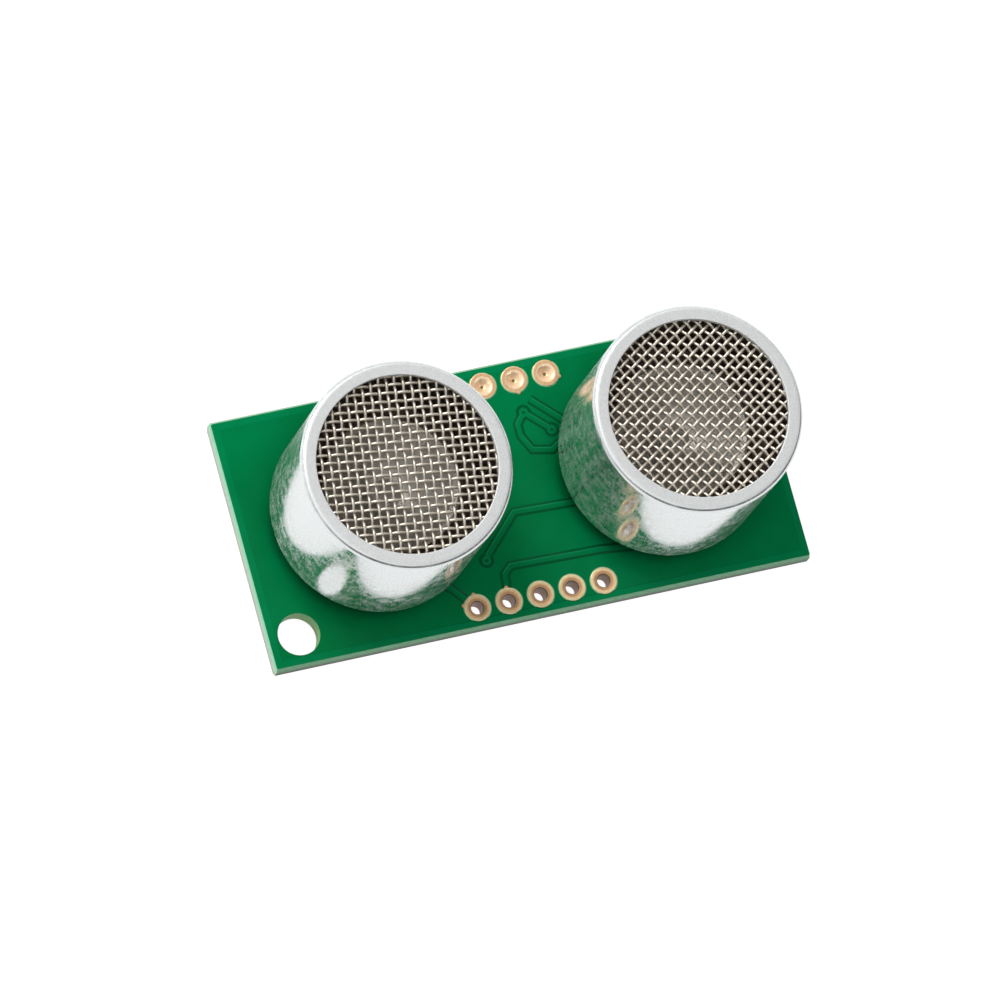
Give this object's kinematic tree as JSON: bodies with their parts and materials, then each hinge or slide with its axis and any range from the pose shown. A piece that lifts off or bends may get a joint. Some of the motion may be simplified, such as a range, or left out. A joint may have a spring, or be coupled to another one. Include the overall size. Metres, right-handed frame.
{
  "type": "ultrasonic distance sensor",
  "caption": "Small circuit board with a side-by-side ultrasonic transmitter and receiver in open metal cans behind woven wire screens.",
  "frame": {"origin": "under the board's centre, on the plane that the chips on its back rest on", "axes": "+Z the way the sensor looks, +X along the board from transmitter to receiver, +Y across it towards the programming pads"},
  "size_m": [0.043, 0.02, 0.0181],
  "materials": {
    "solder_mask": "glossy green solder mask over glass-epoxy laminate",
    "gold": "immersion gold over copper, satin",
    "can_aluminium": "drawn aluminium, near-mirror side with fine scratches, satin rim",
    "screen_wire": "plain-woven drawn wire, bright",
    "cone_aluminium": "thin spun aluminium, satin",
    "plate_metal": "rolled sheet, dull",
    "piezo_ceramic": "fired ceramic with a silvered face",
    "silicone": "translucent white silicone, matt",
    "base_moulding": "moulded black plastic, matt",
    "tinned_metal": "bright tin plate",
    "solder": "solder, bright",
    "chip_moulding": "black epoxy moulding, fine matt",
    "resonator_ceramic": "glazed off-white ceramic",
    "led_lens": "clear epoxy lens on a white base",
    "capacitor_ceramic": "brown fired ceramic with tinned ends",
    "resistor_film": "black glaze on white alumina with tinned ends"
  },
  "bodies": {
    "root": {"circuit_board": "solder_mask", "header_pad_1": "gold", "header_pad_2": "gold", "header_pad_3": "gold", "header_pad_4": "gold", "header_pad_5": "gold", "programming_pad_1": "gold", "programming_pad_2": "gold", "programming_pad_3": "gold", "programming_pad_4": "gold", "programming_pad_5": "gold", "transmitter_terminal_1_pad": "gold", "transmitter_terminal_2_pad": "gold", "receiver_terminal_1_pad": "gold", "receiver_terminal_2_pad": "gold", "transmitter_can": "can_aluminium", "transmitter_screen": "screen_wire", "transmitter_resonator_cone": "cone_aluminium", "transmitter_vibrating_plate": "plate_metal", "transmitter_piezo_disc": "piezo_ceramic", "transmitter_mounting_ring": "silicone", "transmitter_terminal_base": "base_moulding", "transmitter_terminal_pin_1": "tinned_metal", "transmitter_terminal_pin_2": "tinned_metal", "transmitter_lead_wire_1": "tinned_metal", "transmitter_lead_wire_2": "tinned_metal", "transmitter_terminal_1_solder": "solder", "transmitter_terminal_2_solder": "solder", "receiver_can": "can_aluminium", "receiver_screen": "screen_wire", "receiver_resonator_cone": "cone_aluminium", "receiver_vibrating_plate": "plate_metal", "receiver_piezo_disc": "piezo_ceramic", "receiver_mounting_ring": "silicone", "receiver_terminal_base": "base_moulding", "receiver_terminal_pin_1": "tinned_metal", "receiver_terminal_pin_2": "tinned_metal", "receiver_lead_wire_1": "tinned_metal", "receiver_lead_wire_2": "tinned_metal", "receiver_terminal_1_solder": "solder", "receiver_terminal_2_solder": "solder", "driver_chip": "chip_moulding", "amplifier_chip": "chip_moulding", "microcontroller_chip": "chip_moulding", "pull_up_transistor": "chip_moulding", "clock_resonator": "resonator_ceramic", "indicator_led": "led_lens", "charge_pump_capacitor_1": "capacitor_ceramic", "charge_pump_capacitor_2": "capacitor_ceramic", "charge_pump_capacitor_3": "capacitor_ceramic", "charge_pump_capacitor_4": "capacitor_ceramic", "supply_capacitor": "capacitor_ceramic", "coupling_capacitor_1": "capacitor_ceramic", "coupling_capacitor_2": "capacitor_ceramic", "filter_capacitor": "capacitor_ceramic", "led_resistor": "resistor_film", "bias_resistor": "resistor_film", "gain_resistor_1": "resistor_film", "gain_resistor_2": "resistor_film", "gain_resistor_3": "resistor_film"}
  },
  "joints": []
}
